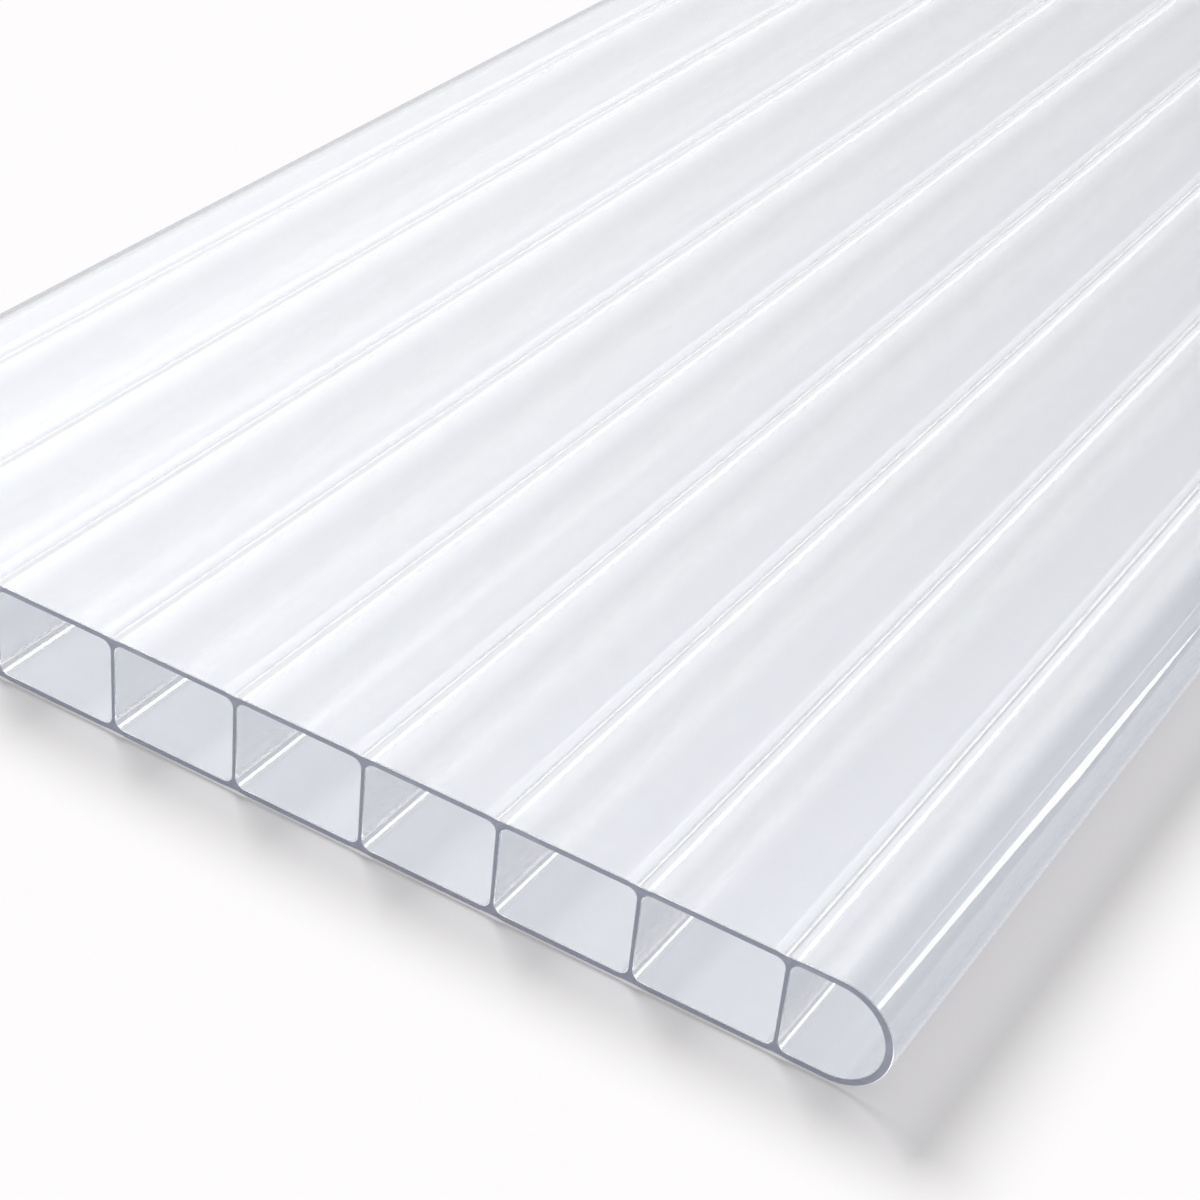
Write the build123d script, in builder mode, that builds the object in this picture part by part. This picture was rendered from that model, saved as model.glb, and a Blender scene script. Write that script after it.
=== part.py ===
from build123d import *
import os

# A twin-wall sheet of clear polycarbonate, extruded in one piece: two flat skins joined by
# upright webs, with both long edges closed by a rounded nose and both ends sawn off square.
# Origin at the middle of the underside, X across the webs, Y along the extrusion, Z up.

# Driving dimensions in millimetres
sheet_length = 1000.0
sheet_thickness = 8.0
web_pitch = 10.5
web_count = 9
skin_wall = 0.5
web_wall = 0.37
nose_wall = 0.6
nose_reach = 7.6
corner_radius = 0.7
sink_width = 2.0
sink_depth = 0.06

# The sheet lies on its lower skin, so the middle of its thickness is half a thickness up
section_plane = Plane(
    origin=(0, 0, sheet_thickness / 2), x_dir=(1, 0, 0), z_dir=(0, -1, 0)
)

# Cells between two webs
cell_width = web_pitch - web_wall
cell_height = sheet_thickness - 2 * skin_wall
cell_top = cell_height / 2

# The last web on each side, and the nose beyond it: a half round as high as the sheet
last_web = web_pitch * (web_count - 1) / 2
sheet_width = 2 * (last_web + nose_reach)
end_cell_start = last_web + web_wall / 2
end_cell_tip = sheet_width / 2 - nose_wall
end_cell_bend = end_cell_tip - cell_top

# Where a web cools it draws the skin in, which leaves a shallow trough along each face
sink_radius = (sink_width / 2) ** 2 / (2 * sink_depth) + sink_depth / 2
sink_centre = sheet_thickness / 2 - sink_depth + sink_radius


with BuildPart() as multiwall_sheet:
    with BuildSketch(section_plane) as section:
        SlotOverall(sheet_width, sheet_thickness)

        # Closed cells, one between each pair of webs, with the webs' roots rounded
        with GridLocations(web_pitch, 0, web_count - 1, 1):
            RectangleRounded(cell_width, cell_height, corner_radius, mode=Mode.SUBTRACT)

        # The cell inside each nose, rounded at its web and following the nose outside
        with BuildLine() as end_cell:
            web_side = FilletPolyline(
                (end_cell_bend, cell_top),
                (end_cell_start, cell_top),
                (end_cell_start, -cell_top),
                (end_cell_bend, -cell_top),
                radius=corner_radius,
            )
            ThreePointArc(web_side @ 1, (end_cell_tip, 0), web_side @ 0)
        make_face(mode=Mode.SUBTRACT)
        with BuildLine() as opposite_end_cell:
            mirror(end_cell.line, about=Plane.YZ)
        make_face(mode=Mode.SUBTRACT)

        # Sink marks above and below every web
        with Locations((0, sink_centre), (0, -sink_centre)):
            with GridLocations(web_pitch, 0, web_count, 1):
                Circle(sink_radius, mode=Mode.SUBTRACT)
    extrude(amount=sheet_length / 2, both=True)

multiwall_sheet.part.label = "multiwall_sheet"

os.makedirs("parts", exist_ok=True)
export_step(multiwall_sheet.part, "parts/multiwall_sheet.step")
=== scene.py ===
from math import copysign, cos, hypot, radians, sin

import bmesh
import bpy
from mathutils import Matrix, Vector


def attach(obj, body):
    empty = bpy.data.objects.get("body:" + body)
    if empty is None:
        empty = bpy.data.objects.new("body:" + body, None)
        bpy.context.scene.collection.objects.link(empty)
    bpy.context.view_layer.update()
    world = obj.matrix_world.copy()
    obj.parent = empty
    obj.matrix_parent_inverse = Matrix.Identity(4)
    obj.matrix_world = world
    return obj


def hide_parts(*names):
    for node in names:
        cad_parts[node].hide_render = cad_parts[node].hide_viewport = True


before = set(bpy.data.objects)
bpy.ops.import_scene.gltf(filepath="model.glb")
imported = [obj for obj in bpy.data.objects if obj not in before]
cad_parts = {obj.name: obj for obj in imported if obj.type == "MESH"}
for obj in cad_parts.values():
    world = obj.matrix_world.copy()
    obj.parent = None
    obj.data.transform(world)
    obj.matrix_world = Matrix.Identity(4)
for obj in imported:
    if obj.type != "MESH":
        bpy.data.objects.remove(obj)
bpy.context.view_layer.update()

# ---- The sheet -------------------------------------------------------------------------
# A twin-wall glazing sheet, extruded in one piece from clear polycarbonate: two thin skins
# held apart by upright webs, with a rounded nose along each long edge. Both ends are sawn
# off square, so every cell is open there. It has no joints and nothing is fixed to it.
MM = 0.001
sheet_length = 1000.0 * MM
sheet_width = 99.2 * MM
sheet_thickness = 8.0 * MM
web_pitch = 10.5 * MM
web_count = 9
skin_wall = 0.5 * MM
web_wall = 0.37 * MM
nose_wall = 0.6 * MM
root_radius = 0.7 * MM
sink_width = 2.0 * MM
sink_depth = 0.06 * MM
sawn_rim = 0.05 * MM

# How finely the curves are drawn, how close points are one point, and what is a crease
nose_segments = 24
root_segments = 8
sink_steps = 5
weld = 0.001 * MM
crease = radians(30)

last_web = web_pitch * (web_count - 1) / 2
web_places = [web_pitch * k - last_web for k in range(web_count)]
cell_low = skin_wall
cell_high = sheet_thickness - skin_wall
half_height = sheet_thickness / 2
nose_inside = (cell_high - cell_low) / 2
nose_root = last_web + web_wall / 2
nose_tip = sheet_width / 2 - nose_wall
nose_centre = sheet_width / 2 - half_height


def outline(section, left, right, low, high, left_radius, right_radius, segments):
    """A rectangle, drawn flat with the sheet's height as Y, and its corners rounded."""
    middle = Vector(((left + right) / 2, (low + high) / 2, 0))
    corners = bmesh.ops.create_grid(section, x_segments=1, y_segments=1, size=0.5)["verts"]
    bmesh.ops.scale(section, vec=(right - left, high - low, 1), verts=corners)
    bmesh.ops.translate(section, vec=middle, verts=corners)
    for side, radius in ((-1, left_radius), (1, right_radius)):
        bmesh.ops.bevel(
            section,
            geom=[v for v in corners if v.is_valid and (v.co.x - middle.x) * side > 0],
            offset=radius,
            offset_type="OFFSET",
            affect="VERTICES",
            segments=segments,
            profile=0.5,
            material=-1,
        )
    bmesh.ops.delete(section, geom=section.faces[:], context="FACES_ONLY")


sheet = bmesh.new()

# The outside: a rounded nose on each long edge, and a shallow sink mark over each web,
# where the thicker plastic drew the skin in as it cooled
outline(
    sheet, -sheet_width / 2, sheet_width / 2, 0, sheet_thickness, half_height, half_height,
    nose_segments,
)
bmesh.ops.remove_doubles(sheet, verts=sheet.verts, dist=weld)
for web in web_places:
    for step in range(-sink_steps, sink_steps + 1):
        bmesh.ops.bisect_plane(
            sheet, geom=sheet.verts[:] + sheet.edges[:], dist=weld / 10,
            plane_co=(web + step / sink_steps * sink_width / 2, 0, 0), plane_no=(1, 0, 0),
        )
for web in web_places:
    for point in sheet.verts:
        across = (point.co.x - web) / (sink_width / 2)
        if abs(across) < 1:
            above = point.co.y - half_height
            point.co.y -= copysign(sink_depth * (1 - across**2), above)

# The cells: square ones with rounded roots between the webs, and a D-shaped one in each nose
for web in web_places[:-1]:
    outline(
        sheet, web + web_wall / 2, web + web_pitch - web_wall / 2, cell_low, cell_high,
        root_radius, root_radius, root_segments,
    )
outline(
    sheet, nose_root, nose_tip, cell_low, cell_high, root_radius, nose_inside, nose_segments
)
outline(
    sheet, -nose_tip, -nose_root, cell_low, cell_high, nose_inside, root_radius, nose_segments
)
bmesh.ops.remove_doubles(sheet, verts=sheet.verts, dist=weld)

# The section is alike above and below, so its upper half is closed across the webs, filled
# and mirrored, and then drawn out to the sheet's length
halfway = Vector((0, half_height, 0))
bmesh.ops.bisect_plane(
    sheet, geom=sheet.verts[:] + sheet.edges[:], plane_co=halfway, plane_no=(0, 1, 0),
    dist=weld, clear_inner=True,
)
on_line = [v for v in sheet.verts if abs(v.co.y - halfway.y) < weld]
on_line.sort(key=lambda v: v.co.x)
for pair in zip(on_line[::2], on_line[1::2]):
    bmesh.ops.contextual_create(sheet, geom=pair)
bmesh.ops.edgenet_fill(sheet, edges=sheet.edges[:])
bmesh.ops.mirror(
    sheet, geom=sheet.verts[:] + sheet.edges[:] + sheet.faces[:],
    matrix=Matrix.Translation(-halfway), merge_dist=0, axis="Y",
)
bmesh.ops.remove_doubles(sheet, verts=sheet.verts, dist=weld)
bmesh.ops.rotate(
    sheet, cent=(0, 0, 0), matrix=Matrix.Rotation(radians(90), 3, "X"), verts=sheet.verts
)
bmesh.ops.translate(sheet, vec=(0, -sheet_length / 2 + sawn_rim, 0), verts=sheet.verts)
drawn = bmesh.ops.extrude_face_region(sheet, geom=sheet.faces[:])["geom"]
bmesh.ops.translate(
    sheet,
    vec=(0, sheet_length - 2 * sawn_rim, 0),
    verts=[g for g in drawn if isinstance(g, bmesh.types.BMVert)],
)
bmesh.ops.recalc_face_normals(sheet, faces=sheet.faces)

# Finish 0 is the outside. The cell walls, which lie well inside the outline, and the sawn cuts
# have finishes of their own
cell_finish, sawn_finish = 1, 2
for face in sheet.faces:
    place = face.calc_center_median()
    from_core = hypot(max(abs(place.x) - nose_centre, 0), place.z - half_height)
    if from_core < half_height - skin_wall / 2:
        face.material_index = cell_finish

# The saw leaves a fine broken edge round each cut, the faces that look straight along the sheet
straight_along = 0.99
for end in (-1, 1):
    cut_faces = [f for f in sheet.faces if f.normal.y * end > straight_along]
    bmesh.ops.inset_region(
        sheet, faces=cut_faces, thickness=sawn_rim, depth=sawn_rim, use_even_offset=True,
        use_boundary=True,
    )
    for face in cut_faces:
        face.material_index = sawn_finish

sheet_mesh = bpy.data.meshes.new("multiwall_sheet_skin")
sheet.to_mesh(sheet_mesh)
sheet.free()
sheet_mesh.shade_smooth()
sheet_mesh.set_sharp_from_angle(angle=crease)
sheet_piece = bpy.data.objects.new("multiwall_sheet_skin", sheet_mesh)
bpy.context.collection.objects.link(sheet_piece)


def linear(hex_colour):
    """An sRGB hex colour as the linear values that a shader takes."""
    channels = [int(hex_colour[i : i + 2], 16) / 255 for i in (1, 3, 5)]
    return [c / 12.92 if c <= 0.04045 else ((c + 0.055) / 1.055) ** 2.4 for c in channels] + [1]


def add(tree, kind, inputs=(), **settings):
    """Add a node, with its settings, and its inputs set or linked."""
    node = tree.nodes.new(kind)
    for name, value in settings.items():
        setattr(node, name, value)
    for name, value in dict(inputs).items():
        if isinstance(value, bpy.types.NodeSocket):
            tree.links.new(value, node.inputs[name])
        else:
            node.inputs[name].default_value = value
    return node


def new_material(name):
    """A new material, and its node tree with nothing in it."""
    material = bpy.data.materials.new(name)
    material.use_nodes = True
    material.node_tree.nodes.clear()
    return material, material.node_tree


polycarbonate_ior = 1.585

# The die leaves faint streaks this wide along the sheet, each a little duller or sharper
die_streak = 0.8 * MM
streak_share = 0.06

# Light that strikes at a slant goes further through the plastic, and less of it comes out
slant_power = 1.5
straight_shade = "#F0F0F2"
slant_shade = "#404146"

# Light caught inside the walls leaves them after this many turns
caught_after = 8.0

# Painted highlights stand in for the light that the webs pipe up to the skin: a thin line on one
# side of each web and a bright band on the other that fades out, added as matt white. Distances
# from the web, and brightness
painted_web_highlights = (
    (-1.2 * MM, 0.0), (-1.06 * MM, 0.15), (-0.92 * MM, 0.09), (-0.3 * MM, 0.07),
    (-0.2 * MM, 0.02), (-0.04 * MM, 0.02), (0.05 * MM, 0.2), (0.5 * MM, 0.18),
    (0.8 * MM, 0.1), (1.5 * MM, 0.1), (1.8 * MM, 0.05), (3.2 * MM, 0.0),
)


def clear_plastic(name, roughness, painted_highlights=()):
    """Clear polycarbonate, with painted highlights along the webs if given. Lamps shine straight
    through it, weaker at a slant.
    """
    material, nodes = new_material(name)
    place = add(nodes, "ShaderNodeTexCoord")
    turned = add(
        nodes, "ShaderNodeMapping",
        {"Vector": place.outputs["Object"], "Rotation": (radians(90), 0, 0)},
    )
    streaks = add(
        nodes, "ShaderNodeTexNoise",
        {"Vector": turned.outputs["Vector"], "Scale": 1 / die_streak, "Detail": 0.0},
        noise_dimensions="2D",
    )
    gloss = add(
        nodes, "ShaderNodeMapRange",
        {
            "Value": streaks.outputs["Fac"], "From Min": 0.3, "From Max": 0.7,
            "To Min": (1 - streak_share) * roughness, "To Max": (1 + streak_share) * roughness,
        },
    )
    plastic = add(
        nodes, "ShaderNodeBsdfPrincipled",
        {
            "Base Color": linear("#FDFEFF"), "Roughness": gloss.outputs["Result"],
            "IOR": polycarbonate_ior, "Transmission Weight": 1.0,
        },
    )
    body = plastic.outputs["BSDF"]
    if painted_highlights:
        # The painted highlights: the colour ramp spans one pitch of the outer top face, with a web
        # at its middle
        spot = add(nodes, "ShaderNodeSeparateXYZ", {"Vector": place.outputs["Object"]})
        pitches = add(
            nodes, "ShaderNodeMath",
            {0: spot.outputs["X"], 1: 1 / web_pitch, 2: 0.5}, operation="MULTIPLY_ADD",
        )
        from_web = add(nodes, "ShaderNodeMath", {0: pitches.outputs["Value"]}, operation="FRACT")
        painted_highlight_ramp = add(nodes, "ShaderNodeValToRGB", {"Fac": from_web.outputs["Value"]})
        for end in painted_highlight_ramp.color_ramp.elements:
            end.color = (0, 0, 0, 1)
        for distance, brightness in painted_highlights:
            stop = painted_highlight_ramp.color_ramp.elements.new(0.5 + distance / web_pitch)
            stop.color = (brightness, brightness, brightness, 1)
        on_top = add(
            nodes, "ShaderNodeMath",
            {0: spot.outputs["Z"], 1: half_height}, operation="GREATER_THAN",
        )
        upper = add(
            nodes, "ShaderNodeMix",
            {"Factor": on_top.outputs["Value"], "A": (0, 0, 0, 1), "B": painted_highlight_ramp.outputs["Color"]},
            data_type="RGBA",
        )
        # The painted highlight is a matt white layer added on top of the clear plastic
        painted_highlight = add(nodes, "ShaderNodeBsdfDiffuse", {"Color": upper.outputs["Result"]})
        with_painted_highlight = add(
            nodes, "ShaderNodeAddShader",
            {0: plastic.outputs["BSDF"], 1: painted_highlight.outputs["BSDF"]},
        )
        body = with_painted_highlight.outputs["Shader"]
    # Light on its way from a lamp, or to a matt surface, goes through without bending
    slant = add(nodes, "ShaderNodeLayerWeight", {"Blend": 0.5})
    glance = add(
        nodes, "ShaderNodeMath", {0: slant.outputs["Facing"], 1: slant_power}, operation="POWER"
    )
    held_back = add(
        nodes, "ShaderNodeMix",
        {"Factor": glance.outputs["Value"], "A": linear(straight_shade), "B": linear(slant_shade)},
        data_type="RGBA",
    )
    ray = add(nodes, "ShaderNodeLightPath")
    tint = add(
        nodes, "ShaderNodeMix",
        {
            "Factor": ray.outputs["Is Shadow Ray"], "A": linear("#FFFFFF"),
            "B": held_back.outputs["Result"],
        },
        data_type="RGBA",
    )
    let_through = add(nodes, "ShaderNodeBsdfTransparent", {"Color": tint.outputs["Result"]})
    lamp_light = add(
        nodes, "ShaderNodeMath",
        {0: ray.outputs["Is Shadow Ray"], 1: ray.outputs["Is Diffuse Ray"]},
        operation="MAXIMUM",
    )
    caught = add(
        nodes, "ShaderNodeMath",
        {0: ray.outputs["Ray Depth"], 1: caught_after}, operation="GREATER_THAN",
    )
    lighting = add(
        nodes, "ShaderNodeMath",
        {0: lamp_light.outputs["Value"], 1: caught.outputs["Value"]},
        operation="MAXIMUM",
    )
    sight = add(
        nodes, "ShaderNodeMixShader",
        {0: lighting.outputs["Value"], 1: body, 2: let_through.outputs["BSDF"]},
    )
    add(nodes, "ShaderNodeOutputMaterial", {"Surface": sight.outputs["Shader"]})
    return material


# The outside is polished by the sizing plates that it is drawn through, and mirrors sharply.
# The cell walls cool in still air and stay a little satin, so what lies behind them blurs.
# The outside also carries the painted highlights along the webs
polished = clear_plastic("polished_clear_polycarbonate", 0.03, painted_web_highlights)
satin = clear_plastic("satin_clear_polycarbonate", 0.22)

# Sawn polycarbonate: the same plastic with a dull, finely scored face. Its grey-blue colour is
# painted shade, standing in for the darker look of light going into the cut instead of passing
# straight through.
sawn, nodes = new_material("sawn_polycarbonate_edge")
place = add(nodes, "ShaderNodeTexCoord")
score_width = 0.25 * MM
score_length = 3.0 * MM
score_depth = 0.01 * MM
scored = add(
    nodes, "ShaderNodeMapping",
    {"Vector": place.outputs["Object"], "Scale": (1 / score_length, 1, 1 / score_width)},
)
marks = add(
    nodes, "ShaderNodeTexNoise",
    {"Vector": scored.outputs["Vector"], "Scale": 1.0, "Detail": 2.0},
)
# The painted shade in two grey-blues, broken up by the scores
painted_cut_shade = add(
    nodes, "ShaderNodeMix",
    {"Factor": marks.outputs["Fac"], "A": linear("#8A8FA2"), "B": linear("#A9AEBE")},
    data_type="RGBA",
)
relief = add(
    nodes, "ShaderNodeBump",
    {"Height": marks.outputs["Fac"], "Strength": 0.4, "Distance": score_depth},
)
cut_face = add(
    nodes, "ShaderNodeBsdfPrincipled",
    {
        "Base Color": painted_cut_shade.outputs["Result"], "Roughness": 0.35,
        "IOR": polycarbonate_ior, "Transmission Weight": 0.3,
        "Normal": relief.outputs["Normal"],
    },
)
add(nodes, "ShaderNodeOutputMaterial", {"Surface": cut_face.outputs["BSDF"]})

for finish in (polished, satin, sawn):
    sheet_mesh.materials.append(finish)
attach(sheet_piece, "root")
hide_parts("multiwall_sheet")

# ---- The floor -------------------------------------------------------------------------
# A plain matt white table top that the sheet lies flat on, a hair below it so that the two
# faces don't share a plane.
floor_reach = 6.0
floor_gap = 0.05 * MM
floor = bmesh.new()
bmesh.ops.create_grid(floor, x_segments=1, y_segments=1, size=floor_reach)
bmesh.ops.translate(floor, vec=(0, 0, -floor_gap), verts=floor.verts)
floor_mesh = bpy.data.meshes.new("floor")
floor.to_mesh(floor_mesh)
floor.free()
floor_piece = bpy.data.objects.new("floor", floor_mesh)
bpy.context.collection.objects.link(floor_piece)
matt, nodes = new_material("matt_white_floor")
paint = add(nodes, "ShaderNodeBsdfDiffuse", {"Color": linear("#FDFCFC")})
# What the sheet mirrors or lets through is painted light: the floor glows in a fixed colour,
# darker below the sheet as painted shade, set a little to the right where the lamp throws the
# shade, and lighter beside it as a painted lit floor
painted_shade_middle = 4.0 * MM
place = add(nodes, "ShaderNodeTexCoord")
spot = add(nodes, "ShaderNodeSeparateXYZ", {"Vector": place.outputs["Object"]})
out_from_middle = add(
    nodes, "ShaderNodeMath", {0: spot.outputs["X"], 1: painted_shade_middle}, operation="SUBTRACT"
)
beside = add(nodes, "ShaderNodeMath", {0: out_from_middle.outputs["Value"]}, operation="ABSOLUTE")
painted_lit_share = add(
    nodes, "ShaderNodeMapRange",
    {
        "Value": beside.outputs["Value"], "From Min": sheet_width / 2,
        "From Max": sheet_width / 2 + sheet_thickness,
    },
)
painted_floor_light_and_shade = add(
    nodes, "ShaderNodeMix",
    {"Factor": painted_lit_share.outputs["Result"], "A": linear("#D2D4DC"), "B": linear("#E2E4EA")},
    data_type="RGBA",
)
painted_floor_glow = add(
    nodes, "ShaderNodeEmission", {"Color": painted_floor_light_and_shade.outputs["Result"], "Strength": 1.0}
)
# Camera rays see the lamp-lit paint; mirrored and refracted rays see the painted glow
ray = add(nodes, "ShaderNodeLightPath")
through = add(
    nodes, "ShaderNodeMath",
    {0: ray.outputs["Is Glossy Ray"], 1: ray.outputs["Is Transmission Ray"]},
    operation="MAXIMUM",
)
top = add(
    nodes, "ShaderNodeMixShader",
    {0: through.outputs["Value"], 1: paint.outputs["BSDF"], 2: painted_floor_glow.outputs["Emission"]},
)
add(nodes, "ShaderNodeOutputMaterial", {"Surface": top.outputs["Shader"]})
floor_mesh.materials.append(matt)

# ---- The light -------------------------------------------------------------------------
# One large soft lamp, high on the left and a little behind, and a pale studio all round that
# is whiter on the lamp's side. The sheet mirrors the studio, but not the lamp itself.
lamp_travel = Vector((0.95, -0.54, -0.92))
key = bpy.data.lights.new("key_lamp", "SUN")
key.energy = 2.68
key.angle = radians(25)
key_lamp = bpy.data.objects.new("key_lamp", key)
key_lamp.rotation_euler = lamp_travel.to_track_quat("-Z", "Y").to_euler()
key_lamp.visible_glossy = False
key_lamp.visible_transmission = False
bpy.context.collection.objects.link(key_lamp)

studio_level = 0.47
studio = bpy.data.worlds.new("studio")
bpy.context.scene.world = studio
studio.use_nodes = True
studio.cycles.sampling_method = "NONE"
nodes = studio.node_tree
nodes.nodes.clear()
way = add(nodes, "ShaderNodeTexCoord")
split = add(nodes, "ShaderNodeSeparateXYZ", {"Vector": way.outputs["Generated"]})
# The studio's brightness in each direction: white on the left, dimmer near the floor, and
# dimmer again at the far left, so that the sheet doesn't glare from the side
side = add(
    nodes, "ShaderNodeMapRange",
    {
        "Value": split.outputs["X"], "From Min": -0.8, "From Max": 0.1,
        "To Min": 3.1, "To Max": studio_level,
    },
)
rise = add(
    nodes, "ShaderNodeMapRange",
    {
        "Value": split.outputs["Z"], "From Min": 0.1, "From Max": 0.7,
        "To Min": 0.3, "To Max": 1.3,
    },
)
far_left = add(
    nodes, "ShaderNodeMapRange",
    {
        "Value": split.outputs["X"], "From Min": -0.95, "From Max": -0.7,
        "To Min": 0.4, "To Max": 1.0,
    },
)
slope = add(
    nodes, "ShaderNodeMath",
    {0: side.outputs["Result"], 1: far_left.outputs["Result"]}, operation="MULTIPLY",
)
wall_light = add(
    nodes, "ShaderNodeMath",
    {0: slope.outputs["Value"], 1: rise.outputs["Result"]}, operation="MULTIPLY",
)
# Long strip lamps that run on beyond the sheet's far end draw its bright lines. Each is a band of
# directions: the middle and half width of its X, the Z that it ends at, and its brightness
beyond = add(nodes, "ShaderNodeMath", {0: split.outputs["Y"], 1: 0.0}, operation="GREATER_THAN")
lit = wall_light.outputs["Value"]
for middle, half_width, low_end, brightness in (
    (0.582, 0.03, 0.12, 5.5),  # the streak low on the nose
    (0.395, 0.015, 0.4, 1.8),  # the faint line above it
):
    across = add(
        nodes, "ShaderNodeMath",
        {0: split.outputs["X"], 1: middle, 2: half_width}, operation="COMPARE",
    )
    over_floor = add(
        nodes, "ShaderNodeMath", {0: split.outputs["Z"], 1: low_end}, operation="GREATER_THAN"
    )
    in_reach = add(
        nodes, "ShaderNodeMath",
        {0: over_floor.outputs["Value"], 1: beyond.outputs["Value"]}, operation="MULTIPLY",
    )
    band = add(
        nodes, "ShaderNodeMath",
        {0: across.outputs["Value"], 1: in_reach.outputs["Value"]}, operation="MULTIPLY",
    )
    strip = add(
        nodes, "ShaderNodeMath",
        {0: band.outputs["Value"], 1: brightness, 2: lit}, operation="MULTIPLY_ADD",
    )
    lit = strip.outputs["Value"]
seen = add(nodes, "ShaderNodeBackground", {"Color": linear("#FFFEFD"), "Strength": lit})
fill = add(nodes, "ShaderNodeBackground", {"Color": linear("#FDFCFC"), "Strength": studio_level})
backdrop = add(nodes, "ShaderNodeBackground", {"Color": linear("#FDFDFE"), "Strength": 1.0})
ray = add(nodes, "ShaderNodeLightPath")
mirrored = add(
    nodes, "ShaderNodeMath",
    {0: ray.outputs["Is Glossy Ray"], 1: ray.outputs["Is Transmission Ray"]},
    operation="MAXIMUM",
)
around = add(
    nodes, "ShaderNodeMixShader",
    {
        0: mirrored.outputs["Value"], 1: fill.outputs["Background"],
        2: seen.outputs["Background"],
    },
)
sky = add(
    nodes, "ShaderNodeMixShader",
    {
        0: ray.outputs["Is Camera Ray"], 1: around.outputs["Shader"],
        2: backdrop.outputs["Background"],
    },
)
add(nodes, "ShaderNodeOutputWorld", {"Surface": sky.outputs["Shader"]})

# ---- The camera ------------------------------------------------------------------------
# Close over the right-hand corner of the sawn end, looking along the sheet to the left and
# down. Distances are in sheet thicknesses from the last web at the sawn end.
look_yaw = radians(-28.23)
look_down = radians(33.98)
roll = radians(6.216)
stand = Vector((5.606, -14.052, 13.649))
focal_pixels = 2642.8
photo_pixels = 1200
corner = Vector((last_web, -sheet_length / 2, half_height))
ahead = Vector((sin(look_yaw) * cos(look_down), cos(look_yaw) * cos(look_down), -sin(look_down)))
level = Vector((cos(look_yaw), -sin(look_yaw), 0))
upward = level.cross(ahead)
right = level * cos(roll) + upward * sin(roll)
up = upward * cos(roll) - level * sin(roll)
lens = bpy.data.cameras.new("camera")
lens.sensor_width = 36.0
lens.lens = focal_pixels / photo_pixels * lens.sensor_width
lens.clip_start = 0.005
lens.clip_end = 50.0
camera = bpy.data.objects.new("camera", lens)
camera.matrix_world = Matrix.Translation(corner + stand * sheet_thickness) @ Matrix(
    (right, up, -ahead)
).transposed().to_4x4()
bpy.context.collection.objects.link(camera)
scene = bpy.context.scene
scene.camera = camera
scene.view_settings.view_transform = "Standard"

# Each pass through the sheet crosses four surfaces or more, so rays are given many turns
wall_crossings = 14
scene.cycles.max_bounces = wall_crossings
scene.cycles.transmission_bounces = wall_crossings
scene.cycles.glossy_bounces = wall_crossings
scene.cycles.diffuse_bounces = 2
scene.cycles.transparent_max_bounces = 48
